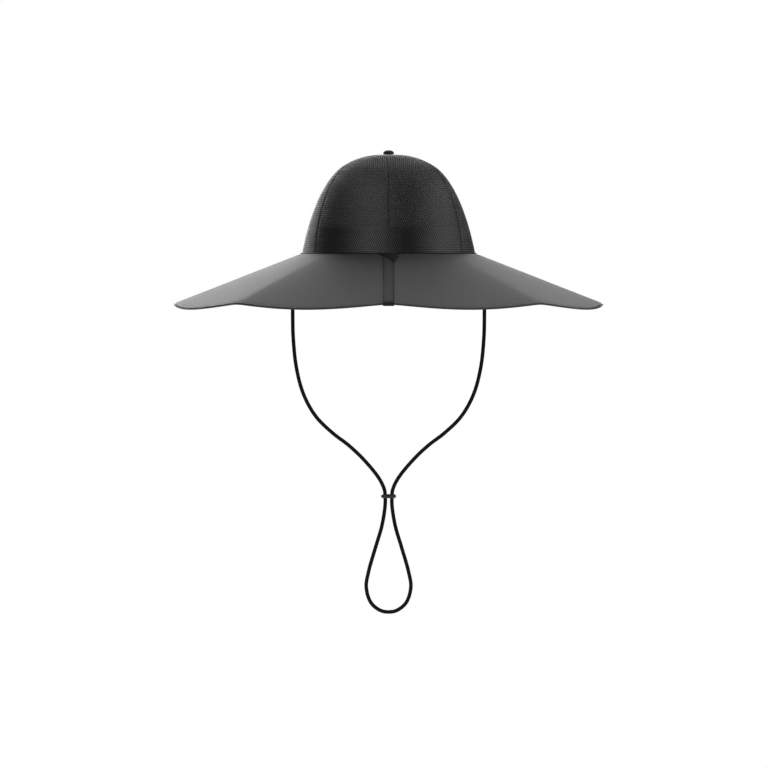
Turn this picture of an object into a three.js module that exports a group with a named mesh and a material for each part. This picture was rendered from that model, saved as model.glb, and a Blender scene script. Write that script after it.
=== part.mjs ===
// A wide-brim sun hat with a see-through mesh crown and a chin cord with a slider.
//
// Millimetres, +Z up. The origin is the centre of the head opening, in the plane where the
// crown meets the brim. The front of the hat faces -Y and +X is to the right, seen from the front.
// Places round the hat are given by the angle t: 0 at the front, 90 degrees at +X, 180 at the back.

import * as THREE from 'three';

// The head opening of a 58 cm hat, measured inside the sweatband
const HEAD_WIDTH = 167;
const HEAD_LENGTH = 200;

// Clear space between pieces that touch
const GAP = 0.3;

const BAND_THICK = 1.5;
const BAND_TOP = 26.6;
const BAND_STEPS = 72;

const CROWN_THICK = 1.4;
// The gores' lower edge is square to their slanting wall, so its inner corner lies lower than this
const CROWN_FOOT = 0.6;

// The crown's outline from its foot to its pole, in two curves with one tangent where they join.
// reach is the half-width, height is counted from the foot.
const CROWN_SIDE = [
  { reach: 86.7, height: 0 },
  { reach: 74.7, height: 60 },
  { reach: 55.7, height: 80.8 },
  { reach: 46, height: 87.1 },
];
const CROWN_DOME = [
  { reach: 46, height: 87.1 },
  { reach: 28.4, height: 98.5 },
  { reach: 13, height: 98.9 },
  { reach: 0, height: 98.9 },
];
const CROWN_HEIGHT = 98.9;
// Turns of the search for a place along the outline
const HALVINGS = 30;

// Six gores. The seams between front and side gores lean towards the side as they climb.
const SIDE_SEAM_FOOT = 58;
const SIDE_SEAM_LEAN = 13;
const POLE_HOLE_REACH = 2.4;
const CROWN_ROWS = 10;

// A seam's place is start + lean * (height / crown height), in degrees
const GORES = [
  { name: 'front_right', from: 0, fromLean: 0, to: SIDE_SEAM_FOOT, toLean: SIDE_SEAM_LEAN, columns: 10 },
  { name: 'side_right', from: SIDE_SEAM_FOOT, fromLean: SIDE_SEAM_LEAN,
    to: 180 - SIDE_SEAM_FOOT, toLean: -SIDE_SEAM_LEAN, columns: 8 },
  { name: 'rear_right', from: 180 - SIDE_SEAM_FOOT, fromLean: -SIDE_SEAM_LEAN, to: 180, toLean: 0, columns: 10 },
  { name: 'rear_left', from: 180, fromLean: 0, to: 180 + SIDE_SEAM_FOOT, toLean: SIDE_SEAM_LEAN, columns: 10 },
  { name: 'side_left', from: 180 + SIDE_SEAM_FOOT, fromLean: SIDE_SEAM_LEAN,
    to: 360 - SIDE_SEAM_FOOT, toLean: -SIDE_SEAM_LEAN, columns: 8 },
  { name: 'front_left', from: 360 - SIDE_SEAM_FOOT, fromLean: -SIDE_SEAM_LEAN, to: 360, toLean: 0, columns: 10 },
];

const BUTTON_RADIUS = 5.5;
const BUTTON_HEIGHT = 4.1;
const BUTTON_EDGE = 0.9;
const BUTTON_SIDES = 20;
const BUTTON_STEPS = 4;
const POST_RADIUS = 1.8;
const POST_DEPTH = 3.2;

// The brim falls from the crown on one slope, and sags between eight pressed folds
const BRIM_THICK = 1.6;
const BRIM_FLAT_REACH = 88.4;
const BRIM_RIM_REACH = 212.8;
const BRIM_SLOPE = 0.392;
const BRIM_SAG = 5;
const BRIM_FOLDS = 8;
const FOLD_SOFTNESS = 0.15;
const BRIM_STEPS = 96;

const BINDING_RADIUS = 0.8;
const BINDING_SIDES = 6;

const STRAP_WIDTH = 11;
const STRAP_THICK = 0.9;
const FOLD_WIDTH = 11.4;
const FOLD_THICK = 1.2;
const FOLD_TOP_REACH = 208;
const FOLD_UNDER_REACH = 203;
const FOLD_CORNER = 0.6;
// The brim falls this far from its front fold to the edge of the tape's end
const FOLD_SIDE_DROP = 0.45;

const CORD_DIAMETER = 3.5;
const CORD_SIDES = 8;
const CORD_STEPS = 80;
const CORD_MEASURES = 2000;

const TAB_REACH = 96;
const TAB_THICK = 5;
const TAB_WIDTH = 12;
const TAB_FOOT = -15.7;
const TAB_CORNER = 1.5;

const SLIDER_LENGTH = 15.2;
const SLIDER_WIDTH = 9;
const SLIDER_THICK = 4.4;
const SLIDER_EDGE = 0.85;
const SLIDER_MIDDLE = -242.2;
const SLIDER_HOLE_RADIUS = 2.2;
const SLIDER_HOLE_REACH = 3.4;
const SLIDER_EDGE_STEPS = 3;
const SLIDER_CURVE_STEPS = 7;

// Half of the cord's route, from the tab down the left side to the bottom of its loop.
// The cord hangs in the plane through the ears, and its other half is the mirror image.
const CORD_ROUTE = [
  { x: -96, z: TAB_FOOT - GAP },
  { x: -95.9, z: -56 },
  { x: -95.3, z: -84 },
  { x: -92.1, z: -114 },
  { x: -85, z: -140.3 },
  { x: -72.8, z: -162.3 },
  { x: -56, z: -179 },
  { x: -39.7, z: -191.5 },
  { x: -24.5, z: -206 },
  { x: -9.4, z: -224.6 },
  { x: -4.1, z: -236 },
  { x: -3.4, z: -243 },
  { x: -3.4, z: -251 },
  { x: -6.6, z: -271.5 },
  { x: -13.2, z: -294 },
  { x: -19.8, z: -317 },
  { x: -22.3, z: -333 },
  { x: -17.7, z: -348.5 },
  { x: -8.5, z: -356.3 },
  { x: 0, z: -358 },
];

const MESH_CLOTH = { color: 0x2e2e2e, roughness: 0.8, metalness: 0 };
const BRIM_CLOTH = { color: 0x5f6061, roughness: 0.75, metalness: 0 };
const BAND_CLOTH = { color: 0x1d1d1d, roughness: 0.9, metalness: 0 };
const BINDING_CLOTH = { color: 0x2b2c2c, roughness: 0.8, metalness: 0 };
const TAPE_CLOTH = { color: 0x3d3d3d, roughness: 0.8, metalness: 0 };
const BUTTON_CLOTH = { color: 0x3a3a3a, roughness: 0.7, metalness: 0 };
const CORD_CLOTH = { color: 0x141514, roughness: 0.8, metalness: 0 };
const SLIDER_RUBBER = { color: 0x3a3c3a, roughness: 0.6, metalness: 0 };

// Worked out from the sizes above
const WALL_STACK = BAND_THICK + GAP + CROWN_THICK;
const CROWN_REACH = HEAD_WIDTH / 2 + WALL_STACK;
const CROWN_LENGTHWAYS = (HEAD_LENGTH / 2 + WALL_STACK) / CROWN_REACH;
const LENGTHWAYS_EXTRA = (HEAD_LENGTH - HEAD_WIDTH) / 2;
const CROWN_INNER_REACH = CROWN_REACH - CROWN_THICK;

const group = new THREE.Group();

function addPiece(name, geometry, finish) {
  const mesh = new THREE.Mesh(geometry, new THREE.MeshStandardMaterial(finish));
  mesh.name = name;
  group.add(mesh);
  return mesh;
}

function geometryFrom(points, triangles) {
  const geometry = new THREE.BufferGeometry();
  const numbers = points.flatMap((point) => [point.x, point.y, point.z]);
  geometry.setAttribute('position', new THREE.Float32BufferAttribute(numbers, 3));
  geometry.setIndex(triangles.flat());
  geometry.computeVertexNormals();
  return geometry;
}

// A ring: the same closed section, counter-clockwise seen with the reach to the right and +Z up,
// set at each of the given number of steps round the hat
function ringGeometry(steps, sectionAt) {
  const points = [];
  const triangles = [];
  for (let step = 0; step < steps; step += 1) {
    points.push(...sectionAt((2 * Math.PI * step) / steps));
  }
  const count = points.length / steps;
  for (let step = 0; step < steps; step += 1) {
    const here = step * count;
    const next = ((step + 1) % steps) * count;
    for (let side = 0; side < count; side += 1) {
      const other = (side + 1) % count;
      triangles.push([here + side, next + side, next + other]);
      triangles.push([here + side, next + other, here + other]);
    }
  }
  return geometryFrom(points, triangles);
}

// A sheet with a thickness: pointAt gives its outer and its inner face on one grid
function sheetGeometry(columns, rows, pointAt) {
  const points = [];
  const triangles = [];
  for (const face of ['outer', 'inner']) {
    for (let row = 0; row <= rows; row += 1) {
      for (let column = 0; column <= columns; column += 1) {
        points.push(pointAt(column / columns, row / rows, face));
      }
    }
  }
  const faceSize = (columns + 1) * (rows + 1);
  const outer = (column, row) => row * (columns + 1) + column;
  const inner = (column, row) => faceSize + outer(column, row);
  const addQuad = (a, b, c, d) => triangles.push([a, b, c], [a, c, d]);
  for (let row = 0; row < rows; row += 1) {
    for (let column = 0; column < columns; column += 1) {
      addQuad(outer(column, row), outer(column + 1, row), outer(column + 1, row + 1), outer(column, row + 1));
      addQuad(inner(column, row), inner(column, row + 1), inner(column + 1, row + 1), inner(column + 1, row));
    }
    addQuad(outer(0, row), outer(0, row + 1), inner(0, row + 1), inner(0, row));
    addQuad(outer(columns, row), inner(columns, row), inner(columns, row + 1), outer(columns, row + 1));
  }
  for (let column = 0; column < columns; column += 1) {
    addQuad(outer(column, 0), inner(column, 0), inner(column + 1, 0), outer(column + 1, 0));
    addQuad(outer(column, rows), outer(column + 1, rows), inner(column + 1, rows), inner(column, rows));
  }
  return geometryFrom(points, triangles);
}

function cubicThrough(controls) {
  const [start, first, second, end] = controls.map(({ reach, height }) => new THREE.Vector2(reach, height));
  return new THREE.CubicBezierCurve(start, first, second, end);
}

const crownOutline = new THREE.CurvePath();
crownOutline.add(cubicThrough(CROWN_SIDE));
crownOutline.add(cubicThrough(CROWN_DOME));

// The crown's wall at a share of its outline, inset along the outline's own normal
function crownPoint(share, t, inset) {
  const place = crownOutline.getPointAt(share);
  const along = crownOutline.getTangentAt(share);
  const reach = place.x - along.y * inset;
  const lengthways = place.x * CROWN_LENGTHWAYS - along.y * inset;
  const height = CROWN_FOOT + place.y + along.x * inset;
  return new THREE.Vector3(reach * Math.sin(t), -lengthways * Math.cos(t), height);
}

// The share of the crown's outline where a point on it stops being short of the place asked for
function crownShare(isShort) {
  let low = 0;
  let high = 1;
  for (let turn = 0; turn < HALVINGS; turn += 1) {
    const middle = (low + high) / 2;
    if (isShort(crownOutline.getPointAt(middle))) low = middle;
    else high = middle;
  }
  return low;
}

function seamAngle(start, lean, height) {
  return THREE.MathUtils.degToRad(start + (lean * height) / CROWN_HEIGHT);
}

function gorePoint(gore, across, up, face, poleShare) {
  const share = up * poleShare;
  const place = crownOutline.getPointAt(share);
  const edge = GAP / 2 / place.x;
  const from = seamAngle(gore.from, gore.fromLean, place.y) + edge;
  const to = seamAngle(gore.to, gore.toLean, place.y) - edge;
  const t = THREE.MathUtils.lerp(from, to, across);
  return crownPoint(share, t, face === 'outer' ? 0 : CROWN_THICK);
}

function addCrown() {
  const poleShare = crownShare((point) => point.x > POLE_HOLE_REACH);
  for (const gore of GORES) {
    const pointAt = (across, up, face) => gorePoint(gore, across, up, face, poleShare);
    addPiece(`crown_panel_${gore.name}`, sheetGeometry(gore.columns, CROWN_ROWS, pointAt), MESH_CLOTH);
  }
}

// A cloth-covered domed cap on a short post that fills the hole where the gores meet
function addButton() {
  const foot = CROWN_FOOT + CROWN_HEIGHT + GAP;
  const profile = new THREE.Path();
  profile.moveTo(0, foot - POST_DEPTH);
  profile.lineTo(POST_RADIUS, foot - POST_DEPTH);
  profile.lineTo(POST_RADIUS, foot);
  profile.lineTo(BUTTON_RADIUS - BUTTON_EDGE, foot);
  profile.absarc(BUTTON_RADIUS - BUTTON_EDGE, foot + BUTTON_EDGE, BUTTON_EDGE, -Math.PI / 2, 0, false);
  profile.absellipse(0, foot + BUTTON_EDGE, BUTTON_RADIUS, BUTTON_HEIGHT - BUTTON_EDGE, 0, Math.PI / 2, false);
  const turned = new THREE.LatheGeometry(profile.getPoints(BUTTON_STEPS), BUTTON_SIDES);
  const button = addPiece('top_button', turned, BUTTON_CLOTH);
  button.rotation.x = Math.PI / 2;
}

// Flat against the inside of the crown, from the brim's underside up
function addSweatband() {
  const outerInset = CROWN_THICK + GAP;
  const innerInset = outerInset + BAND_THICK;
  const heights = [0, BAND_TOP / 2, BAND_TOP - CROWN_FOOT];
  const shares = heights.map((height) => crownShare((point) => point.y < height));
  const sectionAt = (t) => {
    const outer = shares.map((share) => crownPoint(share, t, outerInset));
    const inner = shares.map((share) => crownPoint(share, t, innerInset));
    const drop = new THREE.Vector3(0, 0, -CROWN_FOOT - BRIM_THICK);
    const outerFoot = outer[0].clone().add(drop);
    const innerFoot = inner[0].clone().add(drop);
    return [outerFoot, ...outer, ...inner.reverse(), innerFoot];
  };
  addPiece('sweatband', ringGeometry(BAND_STEPS, sectionAt), BAND_CLOTH);
}

// How far the brim hangs below its folds at angle t, from 0 on a fold to 1 midway between two
function sagAt(t) {
  const swing = Math.sin((t * BRIM_FOLDS) / 2);
  const softened = Math.sqrt(swing * swing + FOLD_SOFTNESS * FOLD_SOFTNESS) - FOLD_SOFTNESS;
  return softened / (Math.sqrt(1 + FOLD_SOFTNESS * FOLD_SOFTNESS) - FOLD_SOFTNESS);
}

function brimTop(reach, t) {
  const out = Math.max(0, reach - BRIM_FLAT_REACH);
  const sag = (BRIM_SAG * out) / (BRIM_RIM_REACH - BRIM_FLAT_REACH);
  return -BRIM_SLOPE * out - sag * sagAt(t);
}

function brimPoint(reach, t, below) {
  const lengthways = reach + LENGTHWAYS_EXTRA;
  return new THREE.Vector3(reach * Math.sin(t), -lengthways * Math.cos(t), brimTop(reach, t) - below);
}

function addBrim() {
  const middle = (BRIM_FLAT_REACH + BRIM_RIM_REACH) / 2;
  const reaches = [CROWN_INNER_REACH, BRIM_FLAT_REACH, middle, BRIM_RIM_REACH];
  const sectionAt = (t) => {
    const under = reaches.map((reach) => brimPoint(reach, t, BRIM_THICK));
    const top = reaches.map((reach) => brimPoint(reach, t, 0));
    return [...under, ...top.reverse()];
  };
  addPiece('brim', ringGeometry(BRIM_STEPS, sectionAt), BRIM_CLOTH);
}

function addBinding() {
  const centre = BRIM_RIM_REACH + GAP + BINDING_RADIUS;
  const sectionAt = (t) => {
    const section = [];
    for (let side = 0; side < BINDING_SIDES; side += 1) {
      const turn = (2 * Math.PI * side) / BINDING_SIDES;
      const point = brimPoint(centre + BINDING_RADIUS * Math.cos(turn), t, 0);
      point.z = brimTop(centre, t) - BRIM_THICK / 2 + BINDING_RADIUS * Math.sin(turn);
      section.push(point);
    }
    return section;
  };
  addPiece('brim_binding', ringGeometry(BRIM_STEPS, sectionAt), BINDING_CLOTH);
}

// A tape as wide as given, whose outline is drawn with the reach to the right and +Z up,
// laid along the hat's front line
function tapeGeometry(outline, width) {
  const shape = new THREE.Shape(outline.map(({ reach, z }) => new THREE.Vector2(reach + LENGTHWAYS_EXTRA, z)));
  const geometry = new THREE.ExtrudeGeometry(shape, { depth: width, bevelEnabled: false });
  geometry.translate(0, 0, -width / 2);
  const outwards = new THREE.Vector3(0, -1, 0);
  const upwards = new THREE.Vector3(0, 0, 1);
  const across = new THREE.Vector3().crossVectors(outwards, upwards);
  geometry.applyMatrix4(new THREE.Matrix4().makeBasis(outwards, upwards, across));
  return geometry;
}

function addStrap() {
  const start = BRIM_FLAT_REACH + GAP;
  const end = FOLD_TOP_REACH - GAP;
  const outline = [
    { reach: start, z: brimTop(start, 0) + GAP },
    { reach: end, z: brimTop(end, 0) + GAP },
    { reach: end, z: brimTop(end, 0) + GAP + STRAP_THICK },
    { reach: start, z: brimTop(start, 0) + GAP + STRAP_THICK },
  ];
  addPiece('brim_strap', tapeGeometry(outline, STRAP_WIDTH), TAPE_CLOTH);
}

// The tape's end goes over the binding and back under the brim
function addStrapEnd() {
  const bindingOut = BRIM_RIM_REACH + GAP + 2 * BINDING_RADIUS;
  const inside = bindingOut + GAP;
  const outside = inside + FOLD_THICK;
  const overTop = (reach) => brimTop(reach, 0) + GAP;
  const below = GAP + FOLD_SIDE_DROP;
  const bindingFoot = brimTop(bindingOut - BINDING_RADIUS, 0) - BRIM_THICK / 2 - BINDING_RADIUS - below;
  const underside = brimTop(FOLD_UNDER_REACH, 0) - BRIM_THICK - below;
  const outline = [
    { reach: FOLD_TOP_REACH, z: overTop(FOLD_TOP_REACH) },
    { reach: inside - FOLD_CORNER, z: overTop(inside - FOLD_CORNER) },
    { reach: inside, z: overTop(inside) - FOLD_CORNER },
    { reach: inside, z: bindingFoot + FOLD_CORNER },
    { reach: inside - FOLD_CORNER, z: bindingFoot },
    { reach: BRIM_RIM_REACH, z: bindingFoot },
    { reach: FOLD_UNDER_REACH, z: underside },
    { reach: FOLD_UNDER_REACH, z: underside - FOLD_THICK },
    { reach: BRIM_RIM_REACH, z: bindingFoot - FOLD_THICK },
    { reach: outside - FOLD_CORNER, z: bindingFoot - FOLD_THICK },
    { reach: outside, z: bindingFoot - FOLD_THICK + FOLD_CORNER },
    { reach: outside, z: overTop(outside) + FOLD_THICK - FOLD_CORNER },
    { reach: outside - FOLD_CORNER, z: overTop(outside - FOLD_CORNER) + FOLD_THICK },
    { reach: FOLD_TOP_REACH, z: overTop(FOLD_TOP_REACH) + FOLD_THICK },
  ];
  addPiece('strap_end_fold', tapeGeometry(outline, FOLD_WIDTH), TAPE_CLOTH);
}

// A folded tab of webbing, sewn to the brim's underside over each ear, that grips the cord's end
function addTab(name, side) {
  const half = TAB_THICK / 2;
  const underside = (reach) => brimTop(reach, Math.PI / 2) - BRIM_THICK - GAP;
  const shape = new THREE.Shape();
  shape.moveTo(TAB_REACH - half, underside(TAB_REACH - half));
  shape.lineTo(TAB_REACH - half, TAB_FOOT + TAB_CORNER);
  shape.lineTo(TAB_REACH - half + TAB_CORNER / 2, TAB_FOOT);
  shape.lineTo(TAB_REACH + half - TAB_CORNER / 2, TAB_FOOT);
  shape.lineTo(TAB_REACH + half, TAB_FOOT + TAB_CORNER);
  shape.lineTo(TAB_REACH + half, underside(TAB_REACH + half));
  const geometry = new THREE.ExtrudeGeometry(shape, { depth: TAB_WIDTH, bevelEnabled: false });
  geometry.translate(0, 0, -TAB_WIDTH / 2);
  geometry.rotateX(Math.PI / 2);
  const tab = addPiece(name, geometry, TAPE_CLOTH);
  tab.rotation.z = side > 0 ? 0 : Math.PI;
}

function circleOf(radius, sides) {
  const points = [];
  for (let side = 0; side < sides; side += 1) {
    const turn = (2 * Math.PI * side) / sides;
    points.push(new THREE.Vector2(radius * Math.cos(turn), radius * Math.sin(turn)));
  }
  return new THREE.Shape(points);
}

function addCord() {
  const half = CORD_ROUTE.map(({ x, z }) => new THREE.Vector3(x, 0, z));
  const mirrored = CORD_ROUTE.slice(0, -1).reverse().map(({ x, z }) => new THREE.Vector3(-x, 0, z));
  const route = new THREE.CatmullRomCurve3([...half, ...mirrored]);
  route.arcLengthDivisions = CORD_MEASURES;
  const section = circleOf(CORD_DIAMETER / 2, CORD_SIDES);
  const geometry = new THREE.ExtrudeGeometry(section, { steps: CORD_STEPS, extrudePath: route });
  addPiece('chin_cord', geometry, CORD_CLOTH);
}

// A flat oval of soft rubber with rounded edges and two upright holes
function addSlider() {
  const end = SLIDER_WIDTH / 2 - SLIDER_EDGE;
  const straight = SLIDER_LENGTH / 2 - SLIDER_WIDTH / 2;
  const shape = new THREE.Shape();
  shape.moveTo(-straight, -end);
  shape.lineTo(straight, -end);
  shape.absarc(straight, 0, end, -Math.PI / 2, Math.PI / 2, false);
  shape.lineTo(-straight, end);
  shape.absarc(-straight, 0, end, Math.PI / 2, (3 * Math.PI) / 2, false);
  for (const side of [-1, 1]) {
    const hole = new THREE.Path();
    hole.absarc(side * SLIDER_HOLE_REACH, 0, SLIDER_HOLE_RADIUS + SLIDER_EDGE, 0, 2 * Math.PI, true);
    shape.holes.push(hole);
  }
  const geometry = new THREE.ExtrudeGeometry(shape, {
    depth: SLIDER_THICK - 2 * SLIDER_EDGE,
    bevelThickness: SLIDER_EDGE,
    bevelSize: SLIDER_EDGE,
    bevelSegments: SLIDER_EDGE_STEPS,
    curveSegments: SLIDER_CURVE_STEPS,
  });
  geometry.translate(0, 0, SLIDER_MIDDLE - SLIDER_THICK / 2 + SLIDER_EDGE);
  addPiece('cord_slider', geometry, SLIDER_RUBBER);
}

addCrown();
addButton();
addSweatband();
addBrim();
addBinding();
addStrap();
addStrapEnd();
addTab('cord_tab_left', -1);
addTab('cord_tab_right', 1);
addCord();
addSlider();

export default group;
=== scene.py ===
import bmesh
import bpy
import numpy as np
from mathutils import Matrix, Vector


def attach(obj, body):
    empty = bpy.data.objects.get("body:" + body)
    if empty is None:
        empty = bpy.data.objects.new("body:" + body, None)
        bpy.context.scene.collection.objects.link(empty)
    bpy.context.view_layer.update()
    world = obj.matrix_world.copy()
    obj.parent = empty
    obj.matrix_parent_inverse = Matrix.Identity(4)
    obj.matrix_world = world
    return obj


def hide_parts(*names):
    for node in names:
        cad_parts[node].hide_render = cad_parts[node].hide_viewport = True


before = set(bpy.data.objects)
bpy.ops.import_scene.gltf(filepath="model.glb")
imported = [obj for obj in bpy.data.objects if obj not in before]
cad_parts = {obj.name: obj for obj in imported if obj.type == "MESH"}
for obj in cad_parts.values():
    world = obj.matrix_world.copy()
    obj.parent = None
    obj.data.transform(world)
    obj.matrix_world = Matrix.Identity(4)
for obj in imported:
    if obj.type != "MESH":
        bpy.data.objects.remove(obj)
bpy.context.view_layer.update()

# The view is level with the brim and straight at the front, through a very long lens, so it is
# almost free of perspective. One pixel of the picture is one millimetre at the hat. The hat's own
# sizes are in millimetres; the room, the lights and the floor are in metres.
MM = 0.001
PICTURE_WIDTH = 768 * MM
PICTURE_MIDDLE = Vector((-4.55 * MM, 0, -130.05 * MM))
CAMERA_AWAY = 30
CAMERA_HEIGHT = -35 * MM
SENSOR_WIDTH = 36

lens = bpy.data.cameras.new("view")
lens.sensor_width = SENSOR_WIDTH
lens.lens = SENSOR_WIDTH * CAMERA_AWAY / PICTURE_WIDTH
lens.clip_start = 1
lens.clip_end = 100
camera = bpy.data.objects.new("view", lens)
camera.location = (PICTURE_MIDDLE.x, -CAMERA_AWAY, CAMERA_HEIGHT)
camera.rotation_euler = (PICTURE_MIDDLE - camera.location).to_track_quat("-Z", "Y").to_euler()
bpy.context.collection.objects.link(camera)
bpy.context.scene.camera = camera
bpy.context.scene.view_settings.view_transform = "Standard"


# The studio is a white room. The backdrop is white to the eye, and throws only a weak light of its
# own, so that the soft boxes shape the hat.
BACKDROP = "#ffffff"
ROOM_LIGHT = 0.02


def linear(code):
    """An sRGB hex value as linear RGBA: each channel is divided by 12.92 where it is very dark,
    and otherwise raised by the sRGB curve."""
    channels = np.array([int(code[place:place + 2], 16) for place in (1, 3, 5)]) / 255
    curve = np.where(channels <= 0.04045, channels / 12.92, ((channels + 0.055) / 1.055) ** 2.4)
    return (*curve.tolist(), 1)


def add_node(tree, kind, inputs=(), **settings):
    """Adds one node: settings are its own properties, and inputs are pairs of a socket's name or
    number and its value or the socket that it is linked from."""
    node = tree.nodes.new(kind)
    for name, value in settings.items():
        setattr(node, name, value)
    for name, value in inputs:
        if isinstance(value, bpy.types.NodeSocket):
            tree.links.new(value, node.inputs[name])
        else:
            node.inputs[name].default_value = value
    return node


world = bpy.data.worlds.new("studio")
bpy.context.scene.world = world
world.use_nodes = True
room = world.node_tree
room.nodes.clear()
seen = add_node(room, "ShaderNodeBackground", [("Color", linear(BACKDROP)), ("Strength", 1)])
lit = add_node(room, "ShaderNodeBackground", [("Color", linear(BACKDROP)), ("Strength", ROOM_LIGHT)])
ray = add_node(room, "ShaderNodeLightPath")
both = add_node(
    room,
    "ShaderNodeMixShader",
    [(0, ray.outputs["Is Camera Ray"]), (1, lit.outputs[0]), (2, seen.outputs[0])],
)
add_node(room, "ShaderNodeOutputWorld", [("Surface", both.outputs[0])])

# Two strong soft boxes stand low behind the hat, straight behind it and to the left. Weak ones hang
# high behind it, stand at its right and light its front.
SOFT_BOXES = [
    {"name": "back", "place": (0, 1.9, 0.8), "size": 1.0, "watts": 19},
    {"name": "back_left", "place": (-0.8, 1.7, 0.45), "size": 0.8, "watts": 22},
    {"name": "back_high", "place": (0, 1.15, 1.6), "size": 0.8, "watts": 8.8},
    {"name": "right", "place": (1.75, 0.5, 0.25), "size": 0.8, "watts": 5.4},
    {"name": "front_right", "place": (0.9, -1.9, 0.3), "size": 1.0, "watts": 4.2},
    {"name": "front_left", "place": (-0.7, -2.0, 0.3), "size": 1.0, "watts": 5.0},
]
AIM = Vector((0, 0, 0))

for box in SOFT_BOXES:
    light = bpy.data.lights.new("soft_box_" + box["name"], "AREA")
    light.size = box["size"]
    light.energy = box["watts"]
    lamp = bpy.data.objects.new(light.name, light)
    lamp.location = box["place"]
    lamp.rotation_euler = (AIM - lamp.location).to_track_quat("-Z", "Y").to_euler()
    bpy.context.collection.objects.link(lamp)


# The floor is a pale disc of matt paint, below the picture's lower edge. It fades out into the
# white backdrop, so that its own edge never shows.
FLOOR_HEIGHT = -0.56
FLOOR_RADIUS = 1.5
FLOOR_SOLID_RADIUS = 0.8
FLOOR_STEPS = 96
FLOOR_RINGS = 12
FLOOR_COLOUR = "#f2f2f1"
FLOOR_GLOW = 0.6


def grid_faces(rows, columns, close_rows=False, close_columns=False):
    """Quads between neighbouring points of a grid, where a point's number is its row times the
    number of columns plus its column. A closed direction joins its last line to its first."""
    row = np.arange(rows if close_rows else rows - 1)[:, None]
    column = np.arange(columns if close_columns else columns - 1)[None, :]
    above = (row + 1) % rows
    beside = (column + 1) % columns
    here, next_row = row * columns, above * columns
    corners = (here + column, here + beside, next_row + beside, next_row + column)
    return np.stack(np.broadcast_arrays(*corners), axis=-1).reshape(-1, 4)


def shown_mesh(name, places, faces):
    """Puts an array of places, in metres, and an array of faces into a new object at the origin."""
    mesh = bpy.data.meshes.new(name)
    mesh.from_pydata(places.reshape(-1, 3).tolist(), [], faces.tolist())
    mesh.validate()
    mesh.polygons.foreach_set("use_smooth", np.full(len(mesh.polygons), True))
    piece = bpy.data.objects.new(name, mesh)
    bpy.context.collection.objects.link(piece)
    return piece


def grid_piece(name, places, close_rows=False, close_columns=False, cloth_size=None):
    """A surface through a grid of places, rows by columns by 3. cloth_size is the width along a row
    and the height across the rows in millimetres, and gives the piece a UV map in millimetres."""
    rows, columns = places.shape[:2]
    piece = shown_mesh(name, places, grid_faces(rows, columns, close_rows, close_columns))
    if cloth_size:
        row_faces = rows if close_rows else rows - 1
        column_faces = columns if close_columns else columns - 1
        row, column = np.meshgrid(np.arange(row_faces), np.arange(column_faces), indexing="ij")
        corner_columns = np.stack([column, column + 1, column + 1, column], axis=-1)
        corner_rows = np.stack([row, row, row + 1, row + 1], axis=-1)
        across = corner_columns / column_faces * cloth_size[0]
        up = corner_rows / row_faces * cloth_size[1]
        uv = piece.data.uv_layers.new(name="cloth")
        uv.data.foreach_set("uv", np.stack([across, up], axis=-1).ravel())
    return piece


def new_finish(name, sockets):
    """A material with one Principled shader, whose plain sockets are set here by name."""
    material = bpy.data.materials.new(name)
    material.use_nodes = True
    shader = material.node_tree.nodes["Principled BSDF"]
    for socket, value in sockets.items():
        shader.inputs[socket].default_value = value
    return material, material.node_tree, shader


turn = np.linspace(0, 2 * np.pi, FLOOR_STEPS, endpoint=False)
rings = np.linspace(0, 1, FLOOR_RINGS)[:, None] * FLOOR_RADIUS
level = np.full((FLOOR_RINGS, FLOOR_STEPS), FLOOR_HEIGHT)
floor_places = np.stack([rings * np.cos(turn), rings * np.sin(turn), level], axis=-1)
floor = grid_piece("studio_floor", floor_places, close_columns=True)
# Matt white paint: even, without a shine, and clear towards its edge
paint, tree, shader = new_finish(
    "matt_floor_paint", {"Roughness": 0.9, "Base Color": linear(FLOOR_COLOUR)}
)
place = add_node(tree, "ShaderNodeTexCoord")
distance = add_node(
    tree,
    "ShaderNodeVectorMath",
    [(0, place.outputs["Object"]), (1, (0, 0, -FLOOR_HEIGHT))],
    operation="ADD",
)
radius = add_node(tree, "ShaderNodeVectorMath", [(0, distance.outputs[0])], operation="LENGTH")
fade = add_node(
    tree,
    "ShaderNodeMapRange",
    [("Value", radius.outputs["Value"]), ("From Min", FLOOR_SOLID_RADIUS), ("From Max", FLOOR_RADIUS)],
    interpolation_type="SMOOTHERSTEP",
)
ray = add_node(tree, "ShaderNodeLightPath")
glow = add_node(
    tree, "ShaderNodeMath", [(0, ray.outputs["Is Camera Ray"]), (1, FLOOR_GLOW)], operation="MULTIPLY"
)
shader.inputs["Emission Color"].default_value = linear(BACKDROP)
tree.links.new(glow.outputs[0], shader.inputs["Emission Strength"])
clear = add_node(tree, "ShaderNodeBsdfTransparent")
faded = add_node(
    tree, "ShaderNodeMixShader", [(0, fade.outputs[0]), (1, shader.outputs[0]), (2, clear.outputs[0])]
)
tree.links.new(faded.outputs[0], tree.nodes["Material Output"].inputs["Surface"])
floor.data.materials.append(paint)


# The chin cord is one round braided polyester cord. Both ends are sewn into tabs under the brim,
# over the ears, and both strands run through the slider, below which the rest hangs as a loop.
CORD_DIAMETER = 3.5
BRAID_HEIGHT = 0.05
BRAID_SWELL = 0.3
BRAID_CARRIERS = 6
BRAID_PITCH = 1.9
CORD_SIDES = 24
CORD_STEP = 0.5
CORD_POINTS_PER_SPAN = 40
BRAID_FULLNESS = 0.4
YARN_FLECKS = 0.9
FLECK_SHARE = 0.3
TAB_REACH = 96
TAB_FOOT = -15.7
GAP = 0.3

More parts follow.
